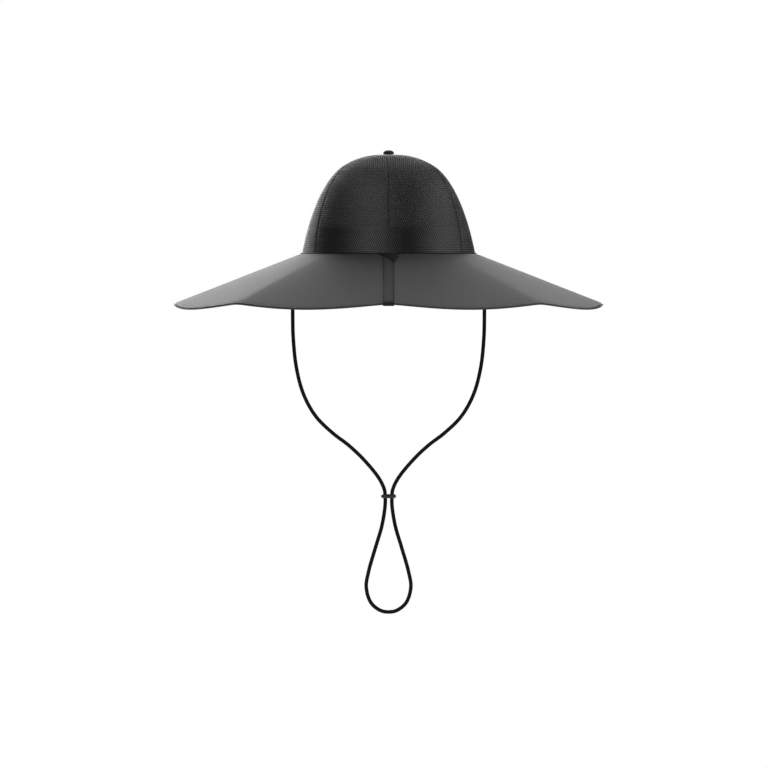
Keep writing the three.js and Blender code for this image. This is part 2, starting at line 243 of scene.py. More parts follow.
# Half of the route, from the left tab down to the bottom of the loop: x and z in metres
CORD_ROUTE = [
    (-0.0960, (TAB_FOOT - GAP) * MM),
    (-0.0959, -0.0560),
    (-0.0953, -0.0840),
    (-0.0921, -0.1140),
    (-0.0850, -0.1403),
    (-0.0728, -0.1623),
    (-0.0560, -0.1790),
    (-0.0397, -0.1915),
    (-0.0245, -0.2060),
    (-0.0094, -0.2246),
    (-0.0041, -0.2360),
    (-0.0034, -0.2430),
    (-0.0034, -0.2510),
    (-0.0066, -0.2715),
    (-0.0132, -0.2940),
    (-0.0198, -0.3170),
    (-0.0223, -0.3330),
    (-0.0177, -0.3485),
    (-0.0085, -0.3563),
    (0.0, -0.3580),
]


def curve_through(points, per_span):
    """A centripetal Catmull-Rom curve: between two points it blends three lines, each weighted by
    the square roots of the distances between the points."""
    points = np.vstack([2 * points[0] - points[1], points, 2 * points[-1] - points[-2]])
    spans = [points[k:len(points) - 3 + k] for k in range(4)]
    knots = [np.zeros(len(spans[0]))]
    for k in range(3):
        knots.append(knots[-1] + np.sqrt(np.linalg.norm(spans[k + 1] - spans[k], axis=1)))
    share = np.linspace(0, 1, per_span, endpoint=False)
    at = (knots[1][:, None] + (knots[2] - knots[1])[:, None] * share)[..., None]

    def blend(a, b, start, end):
        start, end = start[:, None, None], end[:, None, None]
        return ((end - at) * a + (at - start) * b) / (end - start)

    spans = [span[:, None, :] for span in spans]
    lines = [blend(spans[k], spans[k + 1], knots[k], knots[k + 1]) for k in range(3)]
    arcs = [blend(lines[k], lines[k + 1], knots[k], knots[k + 2]) for k in range(2)]
    curve = blend(arcs[0], arcs[1], knots[1], knots[2]).reshape(-1, 3)
    return np.vstack([curve, points[-2]])


def evenly(points, step):
    """The same line with its points a step apart, and its length."""
    along = np.concatenate([[0], np.cumsum(np.linalg.norm(np.diff(points, axis=0), axis=1))])
    count = int(round(along[-1] / step)) + 1
    at = np.linspace(0, along[-1], count)
    return np.stack([np.interp(at, along, points[:, k]) for k in range(3)], axis=-1), along[-1]


def braid_height(around, along):
    """Two families of strands wind in opposite turns and pass over each other by turns, as in a
    plain weave. A strand's height is the root of a half sine across it, times a half sine along
    the stretch where it is on top, raised to its fullness."""
    left, right = around + along, around - along
    left_on_top = (np.floor(left) + np.floor(right)) % 2 == 0
    across = np.sin(np.pi * np.where(left_on_top, left % 1, right % 1))
    lift = np.sin(np.pi * np.where(left_on_top, right % 1, left % 1))
    return np.sqrt(across) * lift**BRAID_FULLNESS


def tube_round(line, sides, radius_at):
    """Rings round a line that lies in the plane y = 0. radius_at gives each ring's radius from the
    share of a turn and the distance along the line."""
    along = np.gradient(line, axis=0)
    along /= np.linalg.norm(along, axis=1)[:, None]
    across = np.stack([along[:, 2], np.zeros(len(along)), -along[:, 0]], axis=-1)
    share = np.arange(sides) / sides
    distance = np.concatenate([[0], np.cumsum(np.linalg.norm(np.diff(line, axis=0), axis=1))])
    radius = radius_at(share[None, :], distance[:, None])[..., None]
    turn = 2 * np.pi * share[None, :, None]
    out = across[:, None, :] * np.cos(turn) + np.array([0, 1, 0]) * np.sin(turn)
    return line[:, None, :] + radius * out


def close_shell(piece):
    """Puts a cap on each open end of a piece and turns every face outwards."""
    shell = bmesh.new()
    shell.from_mesh(piece.data)
    bmesh.ops.holes_fill(shell, edges=[edge for edge in shell.edges if edge.is_boundary])
    bmesh.ops.recalc_face_normals(shell, faces=shell.faces)
    shell.to_mesh(piece.data)
    shell.free()


def flecked_finish(name, sockets, flecks, detail, tones, relief=None, crest=None):
    """Fibres or grains: noise with so many flecks in a millimetre runs through a ramp of two tones,
    each a position and an sRGB value. Where a crest is named, an attribute of the mesh, it makes
    up all of the tone but the flecks' share. A relief is the flecks' depth in millimetres and its
    strength."""
    material, tree, shader = new_finish(name, sockets)
    place = add_node(tree, "ShaderNodeTexCoord")
    fleck = add_node(
        tree,
        "ShaderNodeTexNoise",
        [("Vector", place.outputs["Object"]), ("Scale", flecks / MM), ("Detail", detail)],
    ).outputs["Fac"]
    light = fleck
    if crest:
        raised = add_node(tree, "ShaderNodeAttribute", attribute_name=crest)
        light = add_node(
            tree, "ShaderNodeMix", [("Factor", FLECK_SHARE), ("A", raised.outputs["Fac"]), ("B", fleck)]
        ).outputs[0]
    tone = add_node(tree, "ShaderNodeValToRGB", [("Fac", light)])
    for stop, (position, code) in zip(tone.color_ramp.elements, tones):
        stop.position = position
        stop.color = linear(code)
    tree.links.new(tone.outputs["Color"], shader.inputs["Base Color"])
    if relief:
        depth, strength = relief
        bump = add_node(
            tree, "ShaderNodeBump", [("Height", fleck), ("Distance", depth * MM), ("Strength", strength)]
        )
        tree.links.new(bump.outputs[0], shader.inputs["Normal"])
    return material


left_half = np.array([(x, 0, z) for x, z in CORD_ROUTE])
right_half = left_half[-2::-1] * (-1, 1, 1)
cord_curve = curve_through(np.vstack([left_half, right_half]), CORD_POINTS_PER_SPAN)
cord_line, cord_length = evenly(cord_curve, CORD_STEP * MM)


def cord_radius(share, distance):
    """The cord's radius, in metres: full on a strand's back, and less by the braid's height in a
    hollow between strands."""
    height = braid_height(share * BRAID_CARRIERS, distance / (BRAID_PITCH * MM))
    return ((CORD_DIAMETER + BRAID_SWELL) / 2 - BRAID_HEIGHT * (1 - height)) * MM


cord = grid_piece(
    "chin_cord_braid",
    tube_round(cord_line, CORD_SIDES, cord_radius),
    close_columns=True,
    cloth_size=(np.pi * CORD_DIAMETER, cord_length / MM),
)
close_shell(cord)

# Black textured polyester yarn: nearly black in the hollows, with a dull shine along the strands,
# and 0.9 flecks of fibre in a millimetre
cord_finish = flecked_finish(
    "braided_polyester_cord",
    {"Roughness": 0.75, "Specular IOR Level": 0.12},
    YARN_FLECKS,
    detail=3,
    tones=((0, "#151716"), (1, "#2f3231")),
)
cord.data.materials.append(cord_finish)

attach(cord, "root")
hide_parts("chin_cord")


# The slider is a flat oval of soft rubber, moulded with two upright holes that widen towards their
# mouths, and rounded all over.
SLIDER_LENGTH = 15.2
SLIDER_WIDTH = 9
SLIDER_THICK = 4.3
SLIDER_MIDDLE = -242.2
SLIDER_HOLE_RADIUS = 2.05
SLIDER_HOLE_REACH = 3.4
SLIDER_MOUTH = 0.45
SLIDER_ROWS = 15
SLIDER_HALF_COLUMNS = 25
SLIDER_VOXEL = 0.16
SLIDER_SMOOTHING = 8
HOLE_STRAIGHT = 0.001
HOLE_OVERSHOOT = 1.2
HOLE_ROWS = 13
RUBBER_GRAINS = 1.8
RUBBER_GRAIN_DEPTH = 0.05


def applied(piece, kind, **settings):
    """Adds a modifier, sets it, and puts its result into the piece's mesh."""
    modifier = piece.modifiers.new(kind.lower(), kind)
    for name, value in settings.items():
        setattr(modifier, name, value)
    shape = bpy.data.meshes.new_from_object(piece.evaluated_get(bpy.context.evaluated_depsgraph_get()))
    piece.modifiers.clear()
    piece.data = shape


def oval_piece(name, middle_x, straight, profile):
    """A closed piece whose level sections are ovals: two half circles, whose middles are a straight
    length apart. The profile gives each section's radius and its height over the slider's middle."""
    turn = np.linspace(-np.pi / 2, np.pi / 2, SLIDER_HALF_COLUMNS)
    turn = np.concatenate([turn, turn + np.pi])
    end = np.repeat([straight / 2, -straight / 2], SLIDER_HALF_COLUMNS)
    radius, height = (np.array(profile)[:, k, None] for k in range(2))
    sections = (middle_x + end + radius * np.cos(turn), radius * np.sin(turn), SLIDER_MIDDLE + height)
    places = np.stack(np.broadcast_arrays(*sections), axis=-1) * MM
    piece = grid_piece(name, places, close_columns=True)
    close_shell(piece)
    return piece


rise = np.linspace(-np.pi / 2, np.pi / 2, SLIDER_ROWS)
half_thick = SLIDER_THICK / 2
rounded = list(zip(SLIDER_WIDTH / 2 - half_thick * (1 - np.cos(rise)), half_thick * np.sin(rise)))
slider = oval_piece("slider_moulding", 0, SLIDER_LENGTH - SLIDER_WIDTH, rounded)
level = np.linspace(-HOLE_OVERSHOOT, HOLE_OVERSHOOT, HOLE_ROWS)
mouth = SLIDER_HOLE_RADIUS + SLIDER_MOUTH * np.abs(level) ** 4
hole_profile = list(zip(mouth, level * half_thick))
for side in (-1, 1):
    hole = oval_piece("hole", side * SLIDER_HOLE_REACH, HOLE_STRAIGHT, hole_profile)
    applied(slider, "BOOLEAN", object=hole, operation="DIFFERENCE", solver="EXACT")
    bpy.data.objects.remove(hole)
applied(slider, "REMESH", mode="VOXEL", voxel_size=SLIDER_VOXEL * MM, use_smooth_shade=True)
applied(slider, "SMOOTH", factor=0.5, iterations=SLIDER_SMOOTHING)

# Moulded rubber has a fine matt grain from the mould, and a soft shine on its rounded edges
rubber = flecked_finish(
    "moulded_soft_rubber",
    {"Roughness": 0.5, "Specular IOR Level": 0.4},
    RUBBER_GRAINS,
    detail=2,
    tones=((0, "#3f423f"), (1, "#565a56")),
    relief=(RUBBER_GRAIN_DEPTH, 0.6),
)
slider.data.materials.clear()
slider.data.materials.append(rubber)

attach(slider, "root")
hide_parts("cord_slider")


# The brim is one ring of stiff plain-woven polyester. It is pressed into eight shallow folds that
# run straight out from the crown, and it sags a little between them. A row of stitches holds the
# binding, and the inner edge is sewn to the crown.
HEAD_WIDTH = 167
HEAD_LENGTH = 200
LENGTHWAYS_EXTRA = (HEAD_LENGTH - HEAD_WIDTH) / 2
BRIM_THICK = 1.6
RIM_THICK = 1.4
BRIM_INNER_REACH = 85.3
BRIM_FLAT_REACH = 88.4
BRIM_RIM_REACH = 212.8
BRIM_SLOPE = 0.392
BRIM_SAG = 5
BRIM_FOLDS = 8
FOLD_SOFTNESS = 0.11
EDGE_TAPER = 8
EDGE_ROUND = 0.25
BRIM_COLUMNS = 720
BRIM_TOP_ROWS = 44
BRIM_UNDER_ROWS = 18
BRIM_THREAD = 0.95
BRIM_RIB = 2.86
STITCH_LENGTH = 3.2
STITCH_SHARE = 0.72
STITCH_SIDES = 5
THREAD = 0.24
THREAD_TWISTS = 2.2
RIM_STITCH_REACH = 208.6
CROWN_STITCH_REACH = 91.5
UNEVEN_SCALE = 0.11
UNEVEN_SHARE = 0.22
GROOVE_TONE_END = 0.15
CREST_TONE_START = 0.85

# A stitch's rings: the share of its length, the lift in thread widths, and the share of its radius
STITCH_RINGS = [(0, -0.3, 0.6), (0.3, 0.25, 1), (0.7, 0.25, 1), (1, -0.3, 0.6)]


def brim_top(reach, t):
    """Height of the brim's upper face: a straight slope out from the crown, less the sag, which
    grows with the reach and follows a softened sine between two folds."""
    out = np.maximum(0, reach - BRIM_FLAT_REACH)
    swing = np.sin(t * BRIM_FOLDS / 2)
    full = np.sqrt(1 + FOLD_SOFTNESS**2) - FOLD_SOFTNESS
    sag = (np.sqrt(swing**2 + FOLD_SOFTNESS**2) - FOLD_SOFTNESS) / full
    return -BRIM_SLOPE * out - BRIM_SAG * sag * out / (BRIM_RIM_REACH - BRIM_FLAT_REACH)


def brim_place(reach, t, drop):
    """A place on the brim, in metres: the reach sideways goes with the sine of the turn, the longer
    reach lengthways with its cosine, and the drop goes straight down from the upper face."""
    reach, t, drop = np.broadcast_arrays(reach, t, drop)
    lengthways = reach + LENGTHWAYS_EXTRA
    height = brim_top(reach, t) - drop
    return np.stack([reach * np.sin(t), -lengthways * np.cos(t), height], axis=-1) * MM


def sewn_line(line, outwards):
    """A row of stitches: each runs straight between two holes of an even row, is thinner where it
    dives into the cloth, and stands a little out of it in the middle."""
    along = np.concatenate([[0], np.cumsum(np.linalg.norm(np.diff(line, axis=0), axis=1))])
    count = int(round(along[-1] / (STITCH_LENGTH * MM)))
    start = np.arange(count) * along[-1] / count
    end = start + STITCH_SHARE * along[-1] / count

    def at(distance, values):
        return np.stack([np.interp(distance, along, values[:, k]) for k in range(3)], axis=-1)

    first, last = at(start, line), at(end, line)
    out = at((start + end) / 2, outwards)
    run = (last - first) / np.linalg.norm(last - first, axis=1)[:, None]
    side = np.cross(run, out)
    share, lift, radius = np.array(STITCH_RINGS).T[:, None, :, None, None]
    turn = np.arange(STITCH_SIDES)[None, None, :, None] * 2 * np.pi / STITCH_SIDES
    first, last, out, side = (value[:, None, None, :] for value in (first, last, out, side))
    circle = (side * np.cos(turn) + out * np.sin(turn)) * radius / 2
    places = first + (last - first) * share + (out * lift + circle) * THREAD * MM
    points = len(STITCH_RINGS) * STITCH_SIDES
    ring = grid_faces(len(STITCH_RINGS), STITCH_SIDES, close_columns=True)
    stitch = np.arange(count)[:, None] * points
    faces = (stitch[..., None] + ring).reshape(-1, 4).tolist()
    cap = np.arange(STITCH_SIDES)
    for corners in (cap[::-1], cap + points - STITCH_SIDES):
        faces += (stitch + corners).tolist()
    return places.reshape(-1, 3), faces


def joined_sewing(name, rows, finish):
    """All the rows of stitches on one piece, put into one mesh: each row's faces count on from the
    places that are already in it."""
    places, faces, used = [], [], 0
    for row_places, row_faces in rows:
        places.append(row_places)
        faces += [[corner + used for corner in face] for face in row_faces]
        used += len(row_places)
    mesh = bpy.data.meshes.new(name)
    mesh.from_pydata(np.concatenate(places).tolist(), [], faces)
    mesh.polygons.foreach_set("use_smooth", np.full(len(mesh.polygons), True))
    piece = bpy.data.objects.new(name, mesh)
    bpy.context.collection.objects.link(piece)
    close_shell(piece)
    piece.data.materials.append(finish)
    return piece


def woven_finish(
    name,
    groove,
    crest,
    thread,
    on_uv=False,
    rough=0.75,
    depth=0.12,
    rib=None,
    rib_share=0.5,
    painted_edge_shade=None,
):
    """Plain-woven cloth: threads a given number of millimetres apart cross over and under by turns.
    Each is round, so its height is the size of a sine across it, and a checkerboard says which of
    the two is on top. The grooves between them are darker. A rib is a thicker thread at its own
    spacing. A painted edge shade darkens the cloth towards its edges as painted shade, marked on
    the mesh by an attribute of that name."""
    material, tree, shader = new_finish(
        name, {"Roughness": rough, "Sheen Weight": 0.15, "Sheen Roughness": 0.45}
    )
    place = add_node(tree, "ShaderNodeTexCoord")
    scale = 1 if on_uv else 1 / MM
    cloth = add_node(
        tree,
        "ShaderNodeVectorMath",
        [(0, place.outputs["UV" if on_uv else "Object"]), ("Scale", scale / thread)],
        operation="SCALE",
    )
    parts = add_node(tree, "ShaderNodeSeparateXYZ", [(0, cloth.outputs[0])])
    heights = []
    for axis in "XY":
        turn = add_node(
            tree, "ShaderNodeMath", [(0, parts.outputs[axis]), (1, np.pi)], operation="MULTIPLY"
        )
        wave = add_node(tree, "ShaderNodeMath", [(0, turn.outputs[0])], operation="SINE")
        heights.append(add_node(tree, "ShaderNodeMath", [(0, wave.outputs[0])], operation="ABSOLUTE"))
    flat = add_node(
        tree,
        "ShaderNodeCombineXYZ",
        [("X", parts.outputs["X"]), ("Y", parts.outputs["Y"]), ("Z", 0.5)],
    )
    over = add_node(tree, "ShaderNodeTexChecker", [("Vector", flat.outputs[0]), ("Scale", 1)])
    height = add_node(
        tree,
        "ShaderNodeMix",
        [("Factor", over.outputs["Fac"]), ("A", heights[0].outputs[0]), ("B", heights[1].outputs[0])],
    ).outputs[0]
    if rib:
        across = add_node(
            tree,
            "ShaderNodeMath",
            [(0, parts.outputs["X"]), (1, np.pi * thread / rib)],
            operation="MULTIPLY",
        )
        wave = add_node(tree, "ShaderNodeMath", [(0, across.outputs[0])], operation="SINE")
        swell = add_node(tree, "ShaderNodeMath", [(0, wave.outputs[0]), (1, 2)], operation="POWER")
        height = add_node(
            tree, "ShaderNodeMix", [("Factor", rib_share), ("A", height), ("B", swell.outputs[0])]
        ).outputs[0]
    uneven = add_node(
        tree,
        "ShaderNodeTexNoise",
        [("Vector", cloth.outputs[0]), ("Scale", UNEVEN_SCALE), ("Detail", 4)],
    )
    blend = add_node(
        tree, "ShaderNodeMix", [("Factor", UNEVEN_SHARE), ("A", height), ("B", uneven.outputs["Fac"])]
    )
    if painted_edge_shade:
        edge = add_node(tree, "ShaderNodeAttribute", attribute_name="painted_edge_shade")
        blend = add_node(
            tree,
            "ShaderNodeMath",
            [(0, blend.outputs[0]), (1, edge.outputs["Fac"])],
            operation="SUBTRACT",
        )
    tone = add_node(tree, "ShaderNodeValToRGB", [("Fac", blend.outputs[0])])
    tone.color_ramp.elements[0].position = GROOVE_TONE_END
    tone.color_ramp.elements[0].color = linear(groove)
    tone.color_ramp.elements[1].position = CREST_TONE_START
    tone.color_ramp.elements[1].color = linear(crest)
    if painted_edge_shade:
        tone.color_ramp.elements.new(0).color = linear(painted_edge_shade)
    tree.links.new(tone.outputs["Color"], shader.inputs["Base Color"])
    relief = add_node(
        tree, "ShaderNodeBump", [("Height", height), ("Distance", depth * MM), ("Strength", 0.7)]
    )
    tree.links.new(relief.outputs[0], shader.inputs["Normal"])
    return material


columns_turn = np.linspace(0, 2 * np.pi, BRIM_COLUMNS, endpoint=False)[None, :]
edge_reach = BRIM_RIM_REACH - EDGE_ROUND
top_reach = np.append(np.linspace(BRIM_INNER_REACH, edge_reach, BRIM_TOP_ROWS), BRIM_RIM_REACH)
under_reach = np.append(BRIM_RIM_REACH, np.linspace(edge_reach, BRIM_INNER_REACH, BRIM_UNDER_ROWS))
top_reach, under_reach = top_reach[:, None], under_reach[:, None]
under_drop = np.clip(RIM_THICK + (BRIM_RIM_REACH - under_reach) / EDGE_TAPER, RIM_THICK, BRIM_THICK)
brim_upper = brim_place(top_reach, columns_turn, 0)
brim_under = brim_place(under_reach, columns_turn, under_drop)
brim = grid_piece(
    "brim_cloth", np.concatenate([brim_upper, brim_under]), close_rows=True, close_columns=True
)
close_shell(brim)
# Plain-woven polyester, pressed and stiffened: mid grey and matt, with faint ribs from the crown to
# the rim. Its threads are drawn 0.95 mm apart, coarser than real ones, so that they show
brim_finish = woven_finish(
    "stiff_plain_woven_polyester",
    "#6b6c6d",
    "#77787b",
    BRIM_THREAD,
    rib=BRIM_RIB,
    rib_share=0.36,
    depth=0.05,
)
brim.data.materials.append(brim_finish)
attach(brim, "root")
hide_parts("brim")

# Twisted polyester sewing thread: grey, a little shinier than the cloth
thread_finish = flecked_finish(
    "twisted_polyester_thread",
    {"Roughness": 0.6, "Sheen Weight": 0.2},
    THREAD_TWISTS,
    detail=2,
    tones=((0, "#525354"), (1, "#6a6b6c")),
)

sewn_turn = np.linspace(0, 2 * np.pi, BRIM_COLUMNS + 1)
up_only = np.tile([0, 0, 1.0], (len(sewn_turn), 1))
sewn_rows = [
    sewn_line(brim_place(reach, sewn_turn, 0), up_only)
    for reach in (RIM_STITCH_REACH, CROWN_STITCH_REACH)
]
brim_sewing = joined_sewing("brim_stitches", sewn_rows, thread_finish)
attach(brim_sewing, "root")


# The rim is bound with a narrow woven tape. It is folded over the brim's edge into a firm round
# roll and sewn down.
BINDING_RADIUS = 0.8
BINDING_TALL = 1
BINDING_DROP = 1.05
BINDING_SIDES = 12
BINDING_COLUMNS = 960
BINDING_THREAD = 0.6

binding_reach = BRIM_RIM_REACH + GAP + BINDING_RADIUS
around = np.linspace(0, 2 * np.pi, BINDING_SIDES, endpoint=False)[:, None]
binding_turn = np.linspace(0, 2 * np.pi, BINDING_COLUMNS, endpoint=False)[None, :]
roll = brim_place(binding_reach + BINDING_RADIUS * np.cos(around), binding_turn, 0)
roll[..., 2] = (
    brim_top(binding_reach, binding_turn) - BINDING_DROP + BINDING_TALL / 2 * np.sin(around)
) * MM
rim_chords = np.diff(brim_place(binding_reach, sewn_turn, 0), axis=0)
rim_length = np.linalg.norm(rim_chords, axis=1).sum() / MM
roll_size = (rim_length, 2 * np.pi * BINDING_RADIUS)
binding = grid_piece("rim_binding", roll, close_rows=True, close_columns=True, cloth_size=roll_size)
close_shell(binding)
# Fine polyester tape, folded and pressed: darker than the brim, with threads 0.6 mm apart
binding_finish = woven_finish(
    "folded_polyester_binding", "#3b3c3d", "#525354", BINDING_THREAD, on_uv=True, depth=0.1
)
binding.data.materials.append(binding_finish)
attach(binding, "root")
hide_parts("brim_binding")


# Flat woven tape makes the band down the front of the brim, its turned end at the crown, the folded
# piece that closes it over the rim, and the two small tabs over the ears that grip the cord. All
# of it is sewn on.
STRAP_WIDTH = 11
STRAP_THICK = 0.9
FOLD_WIDTH = 11.4
FOLD_THICK = 0.9
FOLD_EASE = 0.35
FOLD_TOP_REACH = 211
FOLD_UNDER_REACH = 203
FOLD_SIDE_DROP = 0.45
FOLD_TOP_SHORT = 1.2
FOLD_UNDER_SHORT = 1.5
WRAP_TURNS = (68, -90)
FOLD_POINTS = 4
WRAP_POINTS = 7
FOLD_POINTS_PER_SPAN = 12
FOLD_STEP = 0.4
TAB_THICK = 5
TAB_WIDTH = 12
TAB_GRIP = 0.8
TAB_FOLD_POINTS = 9
TAB_POINTS_PER_SPAN = 10
TAB_STEP = 0.35
TAPE_PROFILE_POINTS = 28
TAPE_ACROSS_POWER = 8
TAPE_THROUGH_POWER = 4
TAPE_THREAD = 0.7
EDGE_SHADE_WIDTH = 2.2
EDGE_SHADE_BLEND = 1.5
STRAP_ROWS = 130
ACROSS_FRONT = (1, 0, 0)


def tape_piece(name, path, across, width, thick, finish):
    """A tape along a path, in metres. Its cross-section, set square to the path in each row, is a
    superellipse: the eighth power of the share across and the fourth power of the share through
    add up to one."""
    tangent = np.gradient(path, axis=0)
    tangent /= np.linalg.norm(tangent, axis=1)[:, None]
    through = np.cross(across, tangent)
    turn = np.arange(TAPE_PROFILE_POINTS) / TAPE_PROFILE_POINTS * 2 * np.pi
    wide_share = np.sign(np.cos(turn)) * np.abs(np.cos(turn)) ** (2 / TAPE_ACROSS_POWER)
    deep_share = np.sign(np.sin(turn)) * np.abs(np.sin(turn)) ** (2 / TAPE_THROUGH_POWER)
    wide, deep = wide_share * width / 2 * MM, deep_share * thick / 2 * MM
    sideways = np.array(across) * wide[:, None]
    places = path[:, None, :] + sideways[None] + through[:, None, :] * deep[None, :, None]
    length = np.linalg.norm(np.diff(path, axis=0), axis=1).sum() / MM
    piece = grid_piece(name, places, close_columns=True, cloth_size=(2 * (width + thick), length))
    # A painted shade darkens the tape towards both of its edges
    edge_share = np.clip((np.abs(wide) / MM - width / 2 + EDGE_SHADE_WIDTH) / EDGE_SHADE_BLEND, 0, 1)
    edge = piece.data.attributes.new("painted_edge_shade", "FLOAT", "POINT")
    edge.data.foreach_set("value", np.tile(edge_share, len(path)))
    close_shell(piece)
    piece.data.materials.append(finish)
    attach(piece, "root")
    return piece


def front_line(reach, height):
    """Places over the brim's front fold, in metres, at a height above its upper face."""
    places = brim_place(reach, np.zeros_like(reach), 0)
    places[:, 2] += height * MM
    return places


# Flat polyester tape: grey threads 0.7 mm apart, with painted shade darkening both edges. Its end
# fold is given a nearly black tone
tape_finish = woven_finish(
    "flat_woven_polyester_tape",
    "#444546",
    "#5d5e60",
    TAPE_THREAD,
    on_uv=True,
    depth=0.08,
    painted_edge_shade="#2a2a2b",
)
end_finish = woven_finish(
    "nearly_black_tape_end", "#1a1a1a", "#2a2a2b", TAPE_THREAD, on_uv=True, depth=0.08
)
strap_reach = np.linspace(BRIM_FLAT_REACH + GAP, FOLD_TOP_REACH - GAP, STRAP_ROWS)
strap_path = front_line(strap_reach, GAP + STRAP_THICK / 2)
strap = tape_piece("front_band", strap_path, ACROSS_FRONT, STRAP_WIDTH, STRAP_THICK, tape_finish)
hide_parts("brim_strap")

# The band's upper end is turned over at a slant and tucked under the crown's foot, as a flap that
# narrows to the band's right edge. The flap also lies where the crown's shadow falls on the brim,
# and its black tone is painted shadow. Each edge of the flap is given at a few shares of its length,
# by its place right of the middle line and its distance out from the crown there, in millimetres.
TUCK_LEFT = [(0, -9.4, 2.2), (0.5, -3, 10.5), (1, 5, 24.6)]
TUCK_RIGHT = [(0, -8.8, 1.4), (0.5, 9.2, 1.4), (0.7, 9.4, 8), (1, 5.4, 24.2)]
TUCK_THICK = 0.6
TUCK_RAMP = 3
TUCK_CLEARANCE = 0.05
TUCK_ROWS = 40
TUCK_COLUMNS = 16

tuck_share = np.linspace(0, 1, TUCK_ROWS)
tuck_across = np.linspace(0, 1, TUCK_COLUMNS)
tuck_left, tuck_right = (
    np.stack([np.interp(tuck_share, edge[:, 0], edge[:, k]) for k in (1, 2)], axis=-1)[:, None, :]
    for edge in (np.array(TUCK_LEFT), np.array(TUCK_RIGHT))
)
tuck_flat = tuck_left + (tuck_right - tuck_left) * tuck_across[None, :, None]
tuck_reach = BRIM_FLAT_REACH + tuck_flat[..., 1]
tuck_turn = np.arcsin(tuck_flat[..., 0] / tuck_reach)
on_band = np.clip((STRAP_WIDTH / 2 + TUCK_RAMP - np.abs(tuck_flat[..., 0])) / TUCK_RAMP, 0, 1)
tuck_lift = GAP + (STRAP_THICK + TUCK_CLEARANCE) * on_band
tuck_faces = [
    brim_place(tuck_reach, tuck_turn, -tuck_lift - TUCK_THICK),
    brim_place(tuck_reach, tuck_turn, -tuck_lift)[:, ::-1],
]
tuck = grid_piece("front_band_tuck_painted_shadow", np.concatenate(tuck_faces, axis=1), close_columns=True)
close_shell(tuck)
# The back of the same tape, without a shine; its near-black tone is painted shadow of the crown, much
# darker than the tape's own grey
tuck.data.materials.append(
    woven_finish("turned_tape_end_painted_shadow", "#060606", "#0e0e0e", TAPE_THREAD, rough=0.95, depth=0.08)
)
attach(tuck, "root")

# The folded end goes over the band's end, round the rim and back under the brim
over_reach = np.linspace(FOLD_TOP_REACH, binding_reach - FOLD_TOP_SHORT, FOLD_POINTS)
over_rim = front_line(over_reach, FOLD_EASE + STRAP_THICK - FOLD_THICK / 2)
wrap_turn = np.radians(np.linspace(*WRAP_TURNS, WRAP_POINTS))
wrap_out = BINDING_RADIUS + FOLD_EASE + FOLD_THICK / 2
wrap_tall = BINDING_TALL / 2 + FOLD_EASE + FOLD_THICK / 2
rim_centre = front_line(np.array([binding_reach]), -BINDING_DROP)[0]
wrap = rim_centre + MM * np.stack(
    [np.zeros(WRAP_POINTS), -wrap_out * np.cos(wrap_turn), wrap_tall * np.sin(wrap_turn)], axis=-1
)
back_reach = np.linspace(BRIM_RIM_REACH - FOLD_UNDER_SHORT, FOLD_UNDER_REACH, FOLD_POINTS)
back_under = front_line(back_reach, -BRIM_THICK - FOLD_EASE - FOLD_SIDE_DROP - FOLD_THICK / 2)
fold_curve = curve_through(np.vstack([over_rim, wrap, back_under]), FOLD_POINTS_PER_SPAN)
fold_path = evenly(fold_curve, FOLD_STEP * MM)[0]
strap_end = tape_piece("front_band_end", fold_path, ACROSS_FRONT, FOLD_WIDTH, FOLD_THICK, end_finish)
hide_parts("strap_end_fold")

# A tab hangs from the brim's underside: one leg down, a half turn round the cord's end, one leg up
leg = TAB_THICK / 4
foot = TAB_FOOT - TAB_GRIP + 2 * leg
tab_turn = np.linspace(0, np.pi, TAB_FOLD_POINTS)
tab_fold = np.stack([TAB_REACH + leg * np.cos(tab_turn), foot - leg * np.sin(tab_turn)], axis=-1)
outer_top, inner_top = (
    [(reach, brim_top(reach, np.pi / 2) - BRIM_THICK - GAP)]
    for reach in (TAB_REACH + leg, TAB_REACH - leg)
)
tab_route = np.vstack([outer_top, tab_fold, inner_top])
for name, side in (("left", -1), ("right", 1)):
    path = np.stack([side * tab_route[:, 0], np.zeros(len(tab_route)), tab_route[:, 1]], axis=-1) * MM
    tab_path = evenly(curve_through(path, TAB_POINTS_PER_SPAN), TAB_STEP * MM)[0]
    tab = tape_piece(
        f"cord_tab_webbing_{name}", tab_path, (0, 1, 0), TAB_WIDTH, TAB_THICK / 2, tape_finish
    )
    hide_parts(f"cord_tab_{name}")


# The sweatband is a strip of brushed cloth folded double, sewn inside the crown's foot, so it follows
# the crown's wall. It shows through the mesh as a darker band. Two rows of stitches pinch it near its
# edges. The wall's outline, seen from the front, is two cubic curves: the side and the dome.
CROWN_FOOT = 0.6
CROWN_SIDE = [(86.7, 0), (74.7, 60), (55.7, 80.8), (46, 87.1)]
CROWN_DOME = [(46, 87.1), (28.4, 98.5), (13, 98.9), (0, 98.9)]
CROWN_HEIGHT = 98.9
CROWN_REACH = 86.7
CROWN_LENGTHWAYS = (CROWN_REACH + LENGTHWAYS_EXTRA) / CROWN_REACH
OUTLINE_STEPS = 500
BAND_TOP = 26.6
BAND_THICK = 1.5
BAND_INSET = 1.7
BAND_ROUNDNESS = 10
BAND_PINCH = 0.3
BAND_PINCH_REACH = 0.8
BAND_STITCH_MARGIN = 3
BAND_ROWS = 26
BAND_COLUMNS = 288
BAND_THREAD = 0.8


def cubic(controls, share):
    """A cubic Bezier curve: four points weighted by the terms of (1 - share + share) cubed."""
    share = share[:, None]
    weights = ((1 - share) ** 3, 3 * share * (1 - share) ** 2, 3 * share**2 * (1 - share), share**3)
    return sum(weight * np.array(point, float) for weight, point in zip(weights, controls))


